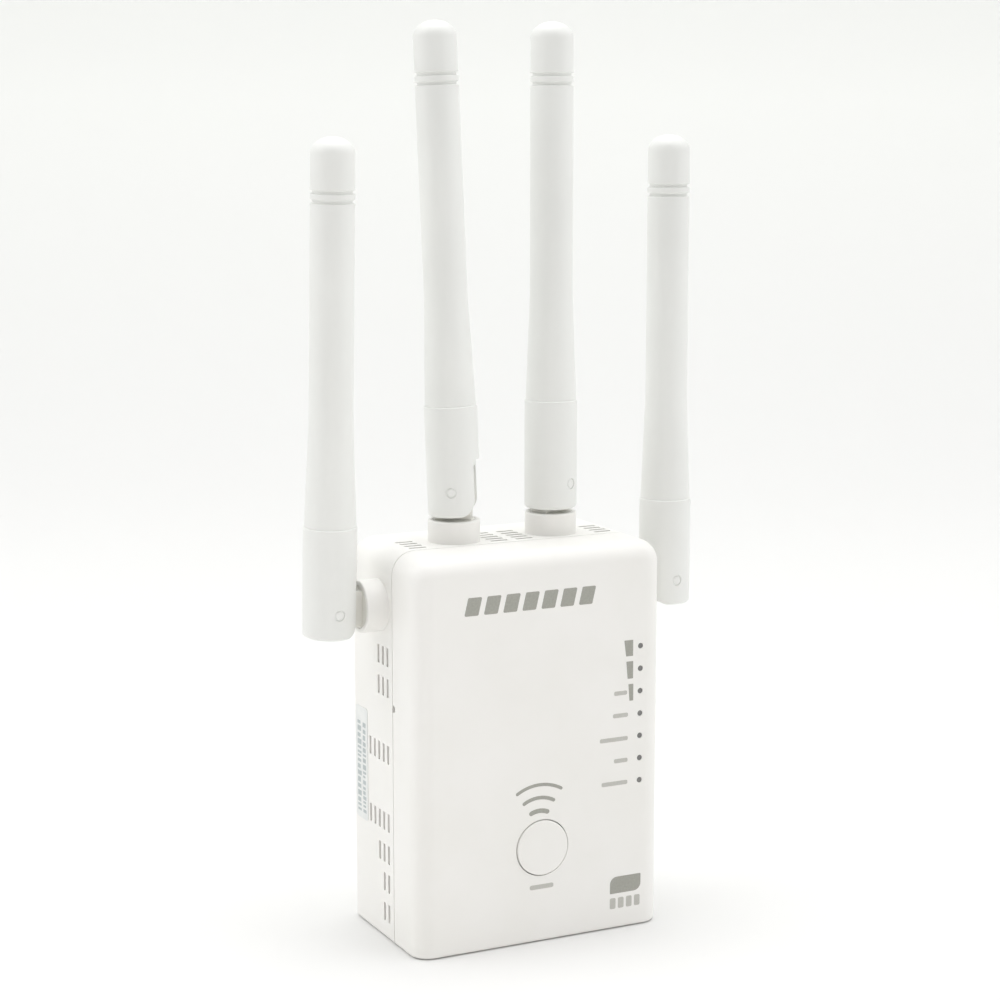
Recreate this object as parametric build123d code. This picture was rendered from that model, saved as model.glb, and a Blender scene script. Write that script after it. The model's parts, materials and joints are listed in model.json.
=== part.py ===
from build123d import *
import math
import os

# Plug-in wifi range extender: a two-part housing with four tilting, swivelling antennas.
# Frame: +X to the right seen from the front, front face at -Y, +Z up.
# Origin: centre of the flat bottom face that the extender stands on. All sizes in mm.

# ---------------------------------------------------------------- housing
BODY_W = 70.0            # left to right
BODY_D = 41.0            # front to back
BODY_H = 102.0           # bottom to top
WALL = 2.0
TOP_CORNER_R = 6.0       # top corners seen from the front
FRONT_EDGE_R = 5.0       # round between the front face and the sides and top
BACK_EDGE_R = 2.5
FOOT_EDGE_R = 0.8
FRONT_DEPTH = 14.6       # depth of the front cover, up to the seam
SEAM_GAP = 0.3           # shadow line between the covers
LIP_REACH = 1.5          # how far the rear cover's lip enters the front cover
LIP_CLEARANCE = 0.1

# ---------------------------------------------------------------- antenna collars
COLLAR_R = 6.7
COLLAR_H = 5.7
COLLAR_FROM_SEAM = 8.3   # one plane for all four
TOP_COLLAR_X = 13.9      # either side of the middle
SIDE_COLLAR_DROP = 14.8  # below the top face
STUB_R = 4.0
STUB_CLEARANCE = 0.05    # running fit of the stub in its collar
FLANGE_R = 5.4
FLANGE_T = 0.9
FLANGE_CLEARANCE = 0.15
FLANGE_FLOAT = 0.05      # under the flange
CLIP_R = 5.6
CLIP_T = 0.8
CLIP_GROOVE_R = 3.3
CLIP_CLEARANCE = 0.05
CLIP_FLOAT = 0.1         # between the clip and the wall it turns on
STUB_TAIL = 1.2          # stub past its clip
CABLE_BORE_R = 1.5

# ---------------------------------------------------------------- antennas
SLEEVE_R = 6.8
PIN_ABOVE_COLLAR = 7.7
PIN_ABOVE_END = 6.7      # hinge pin to the sleeve's lower end
SLEEVE_L = 28.3
SHAFT_L = 95.7           # above the sleeve
SHAFT_R = 5.5
SHAFT_FOOT_STEP = 0.1    # shaft's foot inside the sleeve's outline
TAPER_L = 27.0
HEAD_R = 5.45
DOME_H = 4.2
RING_GROOVES = (13.2, 15.5)   # below the tip
RING_W = 0.8
RING_DEPTH = 0.5
SPIGOT_L = 8.0
SPIGOT_R = 5.2
SHAFT_BORE_R = 4.0
TONGUE_T = 5.0
TONGUE_R = 4.6
FORK_CLEARANCE = 0.1     # each side of the tongue
BACK_CLEARANCE = 0.6     # tongue to the closed back of the fork's slot
TOP_CLEARANCE = 1.4      # tongue to the top of the slot
FLAT_FROM_PIN = 5.5      # flat on the open side of the fork
FLAT_TOP = 7.8
HEEL_R = 1.0
TOE_R = 4.0
PIN_R = 1.15
PIN_CLEARANCE = 0.03
PIN_RING_W = 0.3         # sunk ring round the pin's end
PIN_RING_DEPTH = 0.4
PIN_EDGE_R = 0.25
PIN_SET_BACK = 0.15      # pin end below the sleeve's skin
CABLE_SLOT = 1.6         # gap between the tongue's cheeks
FEED_TOP = 58.0          # above the pin: end of the feed cable and its tube
FEED_TUBE_FOOT = 30.0
FEED_TUBE_R = (2.2, 1.7)
WHIP_TOP = 92.0
WHIP_R = 0.4

# ---------------------------------------------------------------- front controls and lights
BUTTON_Z = 24.9
BUTTON_R = 7.2
BUTTON_GAP = 0.25
BUTTON_PROUD = 0.4
BUTTON_FLANGE = 1.3      # flange past the cap
BUTTON_FLANGE_T = 1.0
BUTTON_STEM_R = 2.2
BUTTON_TRAVEL = 0.4
GUIDE_T = 1.0
GUIDE_H = 3.2
SWITCH_SIZE = 6.0
SWITCH_H = 3.5
PLUNGER_R = 1.7
PLUNGER_OUT = 1.0
PLUNGER_IN = 1.8
PLUNGER_CLEARANCE = 0.05
PLUNGER_SPARE = 0.2      # left below the plunger when it is pressed
LED_COUNT = 7
LED_INSET_X = 6.75       # from the right side
LED_TOP_Z = 74.8
LED_PITCH = 5.94
LED_HOLE_R = 0.75
LED_W = 1.25
LED_L = 2.0
LED_H = 0.8
PIPE_CLEARANCE = 0.05
PIPE_SET_BACK = 0.15
PIPE_TO_LED = 0.1
PIPE_BAR_W = 2.4
PIPE_BAR_T = 1.2
PIPE_BAR_GAP = 2.0       # behind the front wall

# ---------------------------------------------------------------- vents
VENT_W = 1.2
VENT_L = 4.8
VENT_PITCH = 2.85
VENT_FROM_SEAM = 3.1
SIDE_VENT_ROWS = ((72.1, 3), (64.1, 3), (46.7, 5), (28.7, 5), (20.2, 3), (12.5, 2), (4.5, 2))
TOP_VENT_ROWS = ((-26.5, 4), (-3.6, 5), (3.6, 5), (26.5, 4))

# ---------------------------------------------------------------- boards and what they carry
BOARD_T = 1.6
BOARD_SIDE_GAP = 5.0     # to the housing's outside
BOARD_BOTTOM = 4.0
BOARD_TOP_GAP = 8.0      # below the housing's top
BOARD_TO_SEAM = 2.1      # board's back face in front of the seam
BOARD_SCREWS = ((-1, 5.0, 70.0), (-1, 5.0, 24.0), (1, 8.0, 26.0))   # side, from the edge, height
SHIELD_H = 2.4
SHIELD_T = 0.25
SHIELDS = (((-10.0, 8.0), (66.0, 90.0)), ((-10.0, 8.0), (44.0, 62.0)))
CPU_SIZE = 14.0
CPU_H = 1.2
CPU_AT = (-8.0, 60.0)
CHIPS = (((8.0, 20.0), (56.0, 66.0)), ((6.0, 14.0), (44.0, 49.0)))
CHIP_H = 1.1
SINK_SIZE = 20.0
SINK_BASE = 1.5
SINK_H = 5.5
FIN_COUNT = 6
FIN_T = 0.9
POWER_SIDE_GAP = 9.0     # power board to the housing's outside
POWER_BOARD_Z = (26.0, 64.0)
POWER_SCREWS = ((-1, 4.0, 30.0), (1, 4.0, 60.0))
POWER_BOARD_GAP = 4.9    # behind the power board, to the back wall
JACK_W = 16.0
JACK_H = 13.4
JACK_L = 21.0
JACK_FROM_MIDDLE = 1.5
JACK_CLEARANCE = 0.15
JACK_SKIN = 0.3
PORT_W = 11.8
PORT_H = 6.8
PORT_L = 17.5
PORT_KEY_W = 6.2
PORT_KEY_H = 2.6
PORT_KEY_END = 4.0       # how much shorter the latch slot is than the port
PORT_FLOOR = 3.2         # above the board
CONTACT_COUNT = 8
CONTACT_PITCH = 1.02
CONTACT_T = 0.35
CONTACT_H = 1.0
CONTACT_Z = (4.0, 18.5)
MAGNETICS_SIZE = (13.0, 5.0, 9.5)
MAGNETICS_GAP = 3.0      # above the jacks
RESET_Z = 62.0
RESET_HOLE_R = 0.95
RESET_BODY = (4.0, 3.0, 4.0)
RESET_FROM_EDGE = 0.5    # behind the board's left edge
RESET_PLUNGER_R = 0.7
RESET_PLUNGER_OUT = 1.5
RESET_PLUNGER_IN = 1.2
RESET_TRAVEL = 0.3

# ---------------------------------------------------------------- power supply
CAP_R = 4.5
CAP_L = 15.0
CAP_FROM_EDGE = 8.0
CAP_Z = 42.0
SMALL_CAP_R = 3.2
SMALL_CAP_H = 11.0
SMALL_CAP_Z = 34.0
SMALL_CAPS_FROM_EDGE = (9.5, 18.0)
CORE_W = 18.0
CORE_D = 12.0
CORE_H = 16.0
CORE_LEG = 3.0
CORE_AT = (10.0, 44.0)
MIDDLE_LEG = (5.0, 2.0)
WINDING_GAP = 0.2
WINDING_PAST_CORE = 2.0
RECTIFIER = ((-6.0, 0.0), 2.5, (54.0, 62.0))
FUSE_R = 1.8
FUSE_X = (-12.0, -3.0)
FUSE_Z = 44.0
CHOKE_R = 3.0
CHOKE_H = 6.0
CHOKE_AT = (8.0, 58.5)
LINK_W = 5.0
LINK_T = 2.5
LINK_FROM_EDGE = 0.5
LINK_Z = 36.0
LINK_PITCH = 2.54
LINK_PIN = 0.64

# ---------------------------------------------------------------- plug
PLUG_Z = 52.0
BLADE_PITCH = 12.7
BLADE_T = 1.5
BLADE_H = 6.35
BLADE_REACH = 17.0
BLADE_HOLE_R = 1.6
INSERT_W = 30.0
INSERT_H = 20.0
INSERT_R = 4.0
INSERT_LIP = 2.0
INSERT_LIP_T = 1.5
INSERT_CLEARANCE = 0.1

# ---------------------------------------------------------------- fasteners, cable, label
BOSS_INSET_X = 7.5       # from the sides
BOSS_INSET_Z = 7.0       # from the top and bottom faces
BOSS_PAST_BOARD = 0.5
BOSS_R = 3.0
TUBE_R = 4.0
SCREW_HEAD_R = 2.6
SCREW_HEAD_H = 1.8
SCREW_SHANK_R = 1.25
SCREW_L = 10.0
SCREW_CLEARANCE = 0.3
SEAT_T = 2.0
SMALL_HEAD_R = 2.2
SMALL_HEAD_H = 1.3
SMALL_SHANK_R = 1.0
SMALL_SCREW_L = 5.0
POST_R = 2.4
SMALL_SCREW_CLEARANCE = 0.2
CROSS_W = 0.6
CABLE_R = 0.65
CABLE_PLUG_R = 1.4
CABLE_PLUG_H = 1.3
TOP_ROUTE_END = 74.0
SIDE_ROUTE_X = 20.0
SIDE_ROUTE_END = 68.0
LABEL_T = 0.15
LABEL_W = 7.5
LABEL_BACK_GAP = 2.7     # to the back face
LABEL_Z = (28.0, 58.0)

# ---------------------------------------------------------------- places worked out from the sizes
HALF_W = BODY_W / 2
FRONT_Y = -BODY_D / 2
BACK_Y = BODY_D / 2
SEAM_Y = FRONT_Y + FRONT_DEPTH
FRONT_IN_Y = FRONT_Y + WALL
BACK_IN_Y = BACK_Y - WALL
BOARD_BACK_Y = SEAM_Y - BOARD_TO_SEAM
BOARD_FRONT_Y = BOARD_BACK_Y - BOARD_T
BOARD_TOP = BODY_H - BOARD_TOP_GAP
BOARD_HALF_W = HALF_W - BOARD_SIDE_GAP
POWER_BACK_Y = BACK_IN_Y - POWER_BOARD_GAP
POWER_FRONT_Y = POWER_BACK_Y - BOARD_T
POWER_HALF_W = HALF_W - POWER_SIDE_GAP
COLLAR_Y = SEAM_Y + COLLAR_FROM_SEAM
VENT_FIRST_Y = SEAM_Y + VENT_FROM_SEAM
JACK_X = JACK_FROM_MIDDLE + JACK_W / 2
LED_X = HALF_W - LED_INSET_X
BOSS_X = HALF_W - BOSS_INSET_X
BOSS_TOP_Y = BOARD_BACK_Y + BOSS_PAST_BOARD
SWITCH_TOP_Y = BOARD_FRONT_Y - SWITCH_H
PLUNGER_TIP_Y = SWITCH_TOP_Y - PLUNGER_OUT
RESET_X = -BOARD_HALF_W + RESET_FROM_EDGE
RESET_AXIS_Y = BOARD_BACK_Y + RESET_BODY[1] / 2
BAR_Y = FRONT_IN_Y + PIPE_BAR_GAP
FORK_GAP = TONGUE_T + 2 * FORK_CLEARANCE
FORK_BACK = TONGUE_R + BACK_CLEARANCE
FORK_TOP = TONGUE_R + TOP_CLEARANCE
SHAFT_FOOT_R = SLEEVE_R - SHAFT_FOOT_STEP
PIN_RISE = COLLAR_H + PIN_ABOVE_COLLAR
SIDE_COLLAR_Z = BODY_H - SIDE_COLLAR_DROP
FAR = 200.0              # longer than anything here, for cutting tools
BOSS_PLACES = [
    (x, z) for x in (-BOSS_X, BOSS_X) for z in (BOSS_INSET_Z, BODY_H - BOSS_INSET_Z)
]
BOARD_SCREW_PLACES = [(side * (BOARD_HALF_W - inset), z) for side, inset, z in BOARD_SCREWS]
POWER_SCREW_PLACES = [(side * (POWER_HALF_W - inset), z) for side, inset, z in POWER_SCREWS]
LED_PLACES = [LED_TOP_Z - k * LED_PITCH for k in range(LED_COUNT)]

# name, collar centre on the housing's face, outward direction, side that the antenna bends to,
# and how far it is bent at rest (0 is straight out, 90 is folded over)
SWIVEL_1 = math.radians(2.9)
BEND_DIR_2 = math.radians(-31.0)
BEND_DIR_3 = math.radians(23.5)
ANTENNAS = (
    ("antenna_1", (-HALF_W, COLLAR_Y, SIDE_COLLAR_Z), (-1, 0, 0),
     (0, -math.sin(SWIVEL_1), math.cos(SWIVEL_1)), 90.0),
    ("antenna_2", (-TOP_COLLAR_X, COLLAR_Y, BODY_H), (0, 0, 1),
     (math.cos(BEND_DIR_2), math.sin(BEND_DIR_2), 0), -2.2),
    ("antenna_3", (TOP_COLLAR_X, COLLAR_Y, BODY_H), (0, 0, 1),
     (math.cos(BEND_DIR_3), math.sin(BEND_DIR_3), 0), 0.0),
    ("antenna_4", (HALF_W, COLLAR_Y, SIDE_COLLAR_Z), (1, 0, 0), (0, 0, 1), 90.0),
)


# ---------------------------------------------------------------- helpers
def block(x, y, z):
    """A box between the low and high value of each pair."""
    size = (x[1] - x[0], y[1] - y[0], z[1] - z[0])
    return Pos((x[0] + x[1]) / 2, (y[0] + y[1]) / 2, (z[0] + z[1]) / 2) * Box(*size)


def rod(radius, start, end):
    """A round bar from one point to another."""
    axis = Vector(*end) - Vector(*start)
    return Plane(origin=start, z_dir=axis) * Cylinder(
        radius, axis.length, align=(Align.CENTER, Align.CENTER, Align.MIN)
    )


def housing_block(inset):
    """The housing's shape moved in by inset, with a square lower end."""
    half_w = HALF_W - inset
    front = FRONT_Y + inset
    back = BACK_Y - inset
    top = BODY_H - inset
    solid = block((-half_w, half_w), (front, back), (-FAR / 4, top))
    solid = fillet(solid.edges().filter_by(Axis.Y).group_by(Axis.Z)[-1], TOP_CORNER_R - inset)
    for face, radius in ((0, FRONT_EDGE_R), (-1, BACK_EDGE_R)):
        rim = solid.faces().sort_by(Axis.Y)[face].edges().sort_by(Axis.Z)[1:]
        solid = fillet(rim, max(radius - inset, 0.3))
    return solid - block((-FAR, FAR), (-FAR, FAR), (-FAR, inset))


def ring_around(inset_out, inset_in, y):
    """The housing wall's ring between two insets, over a stretch of Y."""
    outer = housing_block(inset_out) & block((-FAR, FAR), y, (-FAR, FAR))
    return outer - housing_block(inset_in)


def save(name, shape):
    """Write one node's STEP file."""
    solids = list(shape) if isinstance(shape, (list, tuple)) else list(shape.solids())
    whole = solids[0] if len(solids) == 1 else Compound(children=solids)
    whole.label = name
    export_step(whole, os.path.join("parts", name + ".step"))


# ---------------------------------------------------------------- cutting tools that two pieces share
def side_vents():
    """Slots for both side walls, as one list of cutters."""
    cutters = []
    for z, count in SIDE_VENT_ROWS:
        for k in range(count):
            y = VENT_FIRST_Y + k * VENT_PITCH
            cutters.append(block((-FAR, FAR), (y - VENT_W / 2, y + VENT_W / 2), (z, z + VENT_L)))
    return cutters


def top_vents():
    """Slots for the top wall."""
    cutters = []
    for x, count in TOP_VENT_ROWS:
        for k in range(count):
            y = VENT_FIRST_Y + k * VENT_PITCH
            cutters.append(block((x - VENT_L / 2, x + VENT_L / 2),
                                 (y - VENT_W / 2, y + VENT_W / 2),
                                 (BODY_H - 2 * WALL, BODY_H + WALL)))
    return cutters


def jack_box(side, grow):
    """The outline of one network jack, grown all round, open below."""
    half = JACK_W / 2 + grow
    return block((side * JACK_X - half, side * JACK_X + half),
                 (BOARD_BACK_Y - grow, BOARD_BACK_Y + JACK_H + grow), (-1, JACK_L + grow))


def reset_hole():
    """The pinhole through the left wall, on the seam's front side."""
    return rod(RESET_HOLE_R, (-HALF_W - 1, RESET_AXIS_Y, RESET_Z), (-HALF_W + 3, RESET_AXIS_Y, RESET_Z))


# ---------------------------------------------------------------- covers
def front_cover():
    """The front shell with its bosses, posts, button guide and light holes."""
    front_half = block((-FAR, FAR), (-FAR, SEAM_Y - SEAM_GAP / 2), (-FAR, FAR))
    outer = housing_block(0)
    outer = fillet(outer.faces().sort_by(Axis.Z)[0].edges(), FOOT_EDGE_R)
    cover = (outer - housing_block(WALL)) & front_half
    rim_low = SEAM_Y - LIP_REACH
    cover -= ring_around(WALL / 2, WALL, (rim_low, SEAM_Y))
    for x, z in BOSS_PLACES:
        cover += rod(BOSS_R, (x, FRONT_IN_Y - 0.5, z), (x, BOSS_TOP_Y, z))
        cover -= rod(SCREW_SHANK_R, (x, FRONT_IN_Y + 1, z), (x, BOSS_TOP_Y + 1, z))
    for x, z in BOARD_SCREW_PLACES:
        cover += rod(POST_R, (x, FRONT_IN_Y - 0.5, z), (x, BOARD_FRONT_Y, z))
        cover -= rod(SMALL_SHANK_R, (x, BOARD_FRONT_Y - SMALL_SCREW_L, z), (x, BOARD_FRONT_Y + 1, z))
    guide_r = BUTTON_R + BUTTON_FLANGE + BUTTON_GAP
    guide_end = FRONT_IN_Y + GUIDE_H
    cover += rod(guide_r + GUIDE_T, (0, FRONT_IN_Y - 0.5, BUTTON_Z), (0, guide_end, BUTTON_Z))
    cover -= rod(guide_r, (0, FRONT_IN_Y, BUTTON_Z), (0, guide_end + 1, BUTTON_Z))
    cover -= rod(BUTTON_R + BUTTON_GAP, (0, FRONT_Y - 1, BUTTON_Z), (0, FRONT_IN_Y + 1, BUTTON_Z))
    for z in LED_PLACES:
        cover -= rod(LED_HOLE_R, (LED_X, FRONT_Y - 1, z), (LED_X, FRONT_IN_Y + 1, z))
    for side in (-1, 1):
        cover -= jack_box(side, JACK_CLEARANCE)
    return cover - reset_hole()


def rear_cover():
    """The rear shell with its collars, lip, screw tubes, vents and plug opening."""
    rear_half = block((-FAR, FAR), (SEAM_Y + SEAM_GAP / 2, FAR), (-FAR, FAR))
    outer = housing_block(0)
    outer = fillet(outer.faces().sort_by(Axis.Z)[0].edges(), FOOT_EDGE_R)
    cover = (outer - housing_block(WALL)) & rear_half
    lip = ring_around(WALL / 2 + LIP_CLEARANCE, WALL, (SEAM_Y - LIP_REACH, SEAM_Y + SEAM_GAP))
    step = ring_around(WALL / 2 + LIP_CLEARANCE, WALL, (SEAM_Y, SEAM_Y + WALL))
    cover += lip + step
    for x, z in BOSS_PLACES:
        cover += rod(TUBE_R, (x, BOSS_TOP_Y, z), (x, BACK_IN_Y + 0.5, z))
        head_hole_r = SCREW_HEAD_R + SCREW_CLEARANCE
        cover -= rod(head_hole_r, (x, BOSS_TOP_Y + SEAT_T, z), (x, BACK_Y + 1, z))
        cover -= rod(SCREW_SHANK_R + SCREW_CLEARANCE / 2, (x, BOSS_TOP_Y - 1, z), (x, BACK_Y, z))
    for x, z in POWER_SCREW_PLACES:
        cover += rod(POST_R, (x, POWER_BACK_Y, z), (x, BACK_IN_Y + 0.5, z))
        cover -= rod(SMALL_SHANK_R, (x, POWER_BACK_Y - 1, z), (x, POWER_FRONT_Y + SMALL_SCREW_L, z))
    for _, foot, out, _, _ in ANTENNAS:
        frame = Plane(origin=foot, z_dir=out)
        collar = rod(COLLAR_R, (0, 0, -WALL / 2), (0, 0, COLLAR_H))
        top_rim = collar.edges().sort_by(Axis.Z)[-1:]
        cover += frame * fillet(top_rim, 0.4)
        bore_r = STUB_R + STUB_CLEARANCE
        cover -= frame * rod(bore_r, (0, 0, -2 * WALL), (0, 0, COLLAR_H + 1))
        recess_r = FLANGE_R + FLANGE_CLEARANCE
        cover -= frame * rod(recess_r, (0, 0, COLLAR_H - FLANGE_T - FLANGE_FLOAT), (0, 0, COLLAR_H + 1))
    for cutter in side_vents():
        cover -= cutter & (block((-FAR, -HALF_W + WALL + 1), (-FAR, FAR), (-FAR, FAR))
                           + block((HALF_W - WALL - 1, FAR), (-FAR, FAR), (-FAR, FAR)))
    for cutter in top_vents():
        cover -= cutter
    cover -= plug_outline(INSERT_CLEARANCE, (BACK_IN_Y - 1, BACK_Y + 1))
    for side in (-1, 1):
        cover -= jack_box(side, JACK_CLEARANCE)
    return cover - reset_hole()


# ---------------------------------------------------------------- controls and lights
def wps_button():
    """The round cap, its flange behind the wall and its stem to the switch."""
    flange_y = FRONT_IN_Y + FLANGE_FLOAT
    cap = rod(BUTTON_R, (0, FRONT_Y - BUTTON_PROUD, BUTTON_Z), (0, flange_y + 0.2, BUTTON_Z))
    cap = fillet(cap.edges().sort_by(Axis.Y)[:1], 0.35)
    cap += rod(BUTTON_R + BUTTON_FLANGE, (0, flange_y, BUTTON_Z),
               (0, flange_y + BUTTON_FLANGE_T, BUTTON_Z))
    return cap + rod(BUTTON_STEM_R, (0, flange_y, BUTTON_Z), (0, PLUNGER_TIP_Y, BUTTON_Z))


def wps_switch_body():
    """Tact switch under the button, on the front of the main board."""
    half = SWITCH_SIZE / 2
    body = block((-half, half), (SWITCH_TOP_Y, BOARD_FRONT_Y), (BUTTON_Z - half, BUTTON_Z + half))
    pocket_y = SWITCH_TOP_Y + PLUNGER_IN + BUTTON_TRAVEL + PLUNGER_SPARE
    return body - rod(PLUNGER_R + PLUNGER_CLEARANCE, (0, SWITCH_TOP_Y - 1, BUTTON_Z), (0, pocket_y, BUTTON_Z))


def wps_switch_plunger():
    """The tact switch's moving core."""
    return rod(PLUNGER_R, (0, PLUNGER_TIP_Y, BUTTON_Z), (0, SWITCH_TOP_Y + PLUNGER_IN, BUTTON_Z))


def reset_switch_body():
    """Side-acting tact switch behind the pinhole, on the back of the main board."""
    w, d, h = RESET_BODY
    body = block((RESET_X, RESET_X + w), (BOARD_BACK_Y, BOARD_BACK_Y + d), (RESET_Z - h / 2, RESET_Z + h / 2))
    pocket_x = RESET_X + RESET_PLUNGER_IN + RESET_TRAVEL + PLUNGER_SPARE
    return body - rod(RESET_PLUNGER_R + PLUNGER_CLEARANCE, (RESET_X - 1, RESET_AXIS_Y, RESET_Z),
                      (pocket_x, RESET_AXIS_Y, RESET_Z))


def reset_switch_plunger():
    """The pin that a paper clip pushes."""
    return rod(RESET_PLUNGER_R, (RESET_X - RESET_PLUNGER_OUT, RESET_AXIS_Y, RESET_Z),
               (RESET_X + RESET_PLUNGER_IN, RESET_AXIS_Y, RESET_Z))


def light_pipes():
    """Seven clear rods on one bar, in one moulding."""
    pipe_end = BOARD_FRONT_Y - LED_H - PIPE_TO_LED
    bar = block((LED_X - PIPE_BAR_W / 2, LED_X + PIPE_BAR_W / 2), (BAR_Y, BAR_Y + PIPE_BAR_T),
                (LED_PLACES[-1] - 2, LED_PLACES[0] + 2))
    for z in LED_PLACES:
        bar += rod(LED_HOLE_R - PIPE_CLEARANCE, (LED_X, FRONT_Y + PIPE_SET_BACK, z), (LED_X, pipe_end, z))
    return bar


def status_leds():
    """One small lamp behind each light pipe."""
    return [
        block((LED_X - LED_W / 2, LED_X + LED_W / 2), (BOARD_FRONT_Y - LED_H, BOARD_FRONT_Y),
              (z - LED_L / 2, z + LED_L / 2))
        for z in LED_PLACES
    ]


# ---------------------------------------------------------------- main board
def main_board():
    """The logic board, notched round the housing's bosses."""
    board = block((-BOARD_HALF_W, BOARD_HALF_W), (BOARD_FRONT_Y, BOARD_BACK_Y), (BOARD_BOTTOM, BOARD_TOP))
    reach = BOSS_R + SCREW_CLEARANCE
    for x, z in BOSS_PLACES:
        across = (x - reach, FAR) if x > 0 else (-FAR, x + reach)
        up = (z - reach, FAR) if z > BODY_H / 2 else (-FAR, z + reach)
        board -= block(across, (-FAR, FAR), up)
    for x, z in BOARD_SCREW_PLACES:
        hole_r = SMALL_SHANK_R + SMALL_SCREW_CLEARANCE
        board -= rod(hole_r, (x, BOARD_FRONT_Y - 1, z), (x, BOARD_BACK_Y + 1, z))
    return board


def rf_shields():
    """Two thin open-bottomed cans over the radio circuits."""
    cans = []
    for x, z in SHIELDS:
        y = (BOARD_BACK_Y, BOARD_BACK_Y + SHIELD_H)
        can = block(x, y, z)
        can -= block((x[0] + SHIELD_T, x[1] - SHIELD_T), (y[0] - 1, y[1] - SHIELD_T),
                     (z[0] + SHIELD_T, z[1] - SHIELD_T))
        cans.append(can)
    return cans


def board_chips():
    """Processor and memory on the board's front side."""
    half = CPU_SIZE / 2
    chips = [block((CPU_AT[0] - half, CPU_AT[0] + half), (BOARD_FRONT_Y - CPU_H, BOARD_FRONT_Y),
                   (CPU_AT[1] - half, CPU_AT[1] + half))]
    for x, z in CHIPS:
        chips.append(block(x, (BOARD_FRONT_Y - CHIP_H, BOARD_FRONT_Y), z))
    return chips


def heat_sink():
    """Finned block on the processor."""
    half = SINK_SIZE / 2
    base_y = BOARD_FRONT_Y - CPU_H
    z = (CPU_AT[1] - half, CPU_AT[1] + half)
    sink = block((CPU_AT[0] - half, CPU_AT[0] + half), (base_y - SINK_BASE, base_y), z)
    pitch = (SINK_SIZE - FIN_T) / (FIN_COUNT - 1)
    for k in range(FIN_COUNT):
        x = CPU_AT[0] - half + k * pitch
        sink += block((x, x + FIN_T), (base_y - SINK_H, base_y - SINK_BASE + 0.1), z)
    return sink


def network_magnetics():
    """One isolation transformer above each jack."""
    w, d, h = MAGNETICS_SIZE
    foot = JACK_L + MAGNETICS_GAP
    return [
        block((s * JACK_X - w / 2, s * JACK_X + w / 2), (BOARD_BACK_Y, BOARD_BACK_Y + d), (foot, foot + h))
        for s in (-1, 1)
    ]


def port_hollow(side):
    """The opening of one jack, with the key slot for the plug's latch towards the back."""
    x = side * JACK_X
    y0 = BOARD_BACK_Y + PORT_FLOOR
    y1 = y0 + PORT_H
    key_end = PORT_L - PORT_KEY_END
    main = block((x - PORT_W / 2, x + PORT_W / 2), (y0, y1), (-1, PORT_L))
    key = block((x - PORT_KEY_W / 2, x + PORT_KEY_W / 2), (y1 - 0.1, y1 + PORT_KEY_H / 2), (-1, key_end))
    latch = block((x - PORT_KEY_W / 4, x + PORT_KEY_W / 4), (y1, y1 + PORT_KEY_H), (-1, key_end))
    return main + key + latch


def contact_row(side):
    """Eight spring contacts sunk in the jack's floor, near the board."""
    x0 = side * JACK_X - CONTACT_PITCH * (CONTACT_COUNT - 1) / 2
    y0 = BOARD_BACK_Y + PORT_FLOOR
    wires = []
    for k in range(CONTACT_COUNT):
        x = x0 + k * CONTACT_PITCH
        wires.append(block((x - CONTACT_T / 2, x + CONTACT_T / 2), (y0 - CONTACT_H, y0), CONTACT_Z))
    return wires


def lan_jack_housing(side):
    """The jack's moulded insulator with its port."""
    skin = JACK_SKIN
    body = block((side * JACK_X - JACK_W / 2 + skin, side * JACK_X + JACK_W / 2 - skin),
                 (BOARD_BACK_Y, BOARD_BACK_Y + JACK_H - skin), (skin, JACK_L - skin))
    body -= port_hollow(side)
    for wire in contact_row(side):
        body -= wire
    return body


def lan_jack_shield(side):
    """The jack's sheet-metal shell, open to the board and at the port."""
    outer = jack_box(side, 0) & block((-FAR, FAR), (-FAR, FAR), (0.0, FAR))
    skin = JACK_SKIN
    inner = block((side * JACK_X - JACK_W / 2 + skin, side * JACK_X + JACK_W / 2 - skin),
                  (BOARD_BACK_Y - 1, BOARD_BACK_Y + JACK_H - skin), (skin, JACK_L - skin))
    return outer - inner - port_hollow(side)


# ---------------------------------------------------------------- power supply
def power_board():
    """The mains supply's board."""
    board = block((-POWER_HALF_W, POWER_HALF_W), (POWER_FRONT_Y, POWER_BACK_Y), POWER_BOARD_Z)
    for x, z in POWER_SCREW_PLACES:
        hole_r = SMALL_SHANK_R + SMALL_SCREW_CLEARANCE
        board -= rod(hole_r, (x, POWER_FRONT_Y - 1, z), (x, POWER_BACK_Y + 1, z))
    return board


def core_block(depth_y, inset):
    """A box in the transformer core's outline, moved in by inset, over a stretch of Y."""
    x, z = CORE_AT
    half_w = CORE_W / 2 - inset
    half_h = CORE_H / 2 - inset
    return block((x - half_w, x + half_w), depth_y, (z - half_h, z + half_h))


def middle_leg(grow):
    """The core's middle leg, grown all round."""
    x, z = CORE_AT
    w, d = MIDDLE_LEG
    y = POWER_FRONT_Y - CORE_D / 2
    return block((x - w / 2 - grow, x + w / 2 + grow), (y - d / 2 - grow, y + d / 2 + grow),
                 (z - CORE_H / 2, z + CORE_H / 2))


def transformer_core():
    """Two-legged ferrite core, with a window each side of the winding."""
    core = core_block((POWER_FRONT_Y - CORE_D + WINDING_PAST_CORE, POWER_FRONT_Y - WINDING_PAST_CORE), 0)
    return core - core_block((-FAR, FAR), CORE_LEG) + middle_leg(0)


def transformer_winding():
    """The bobbin and its windings round the core's middle leg."""
    coil = core_block((POWER_FRONT_Y - CORE_D, POWER_FRONT_Y), CORE_LEG + WINDING_GAP)
    return coil - middle_leg(WINDING_GAP)


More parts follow.
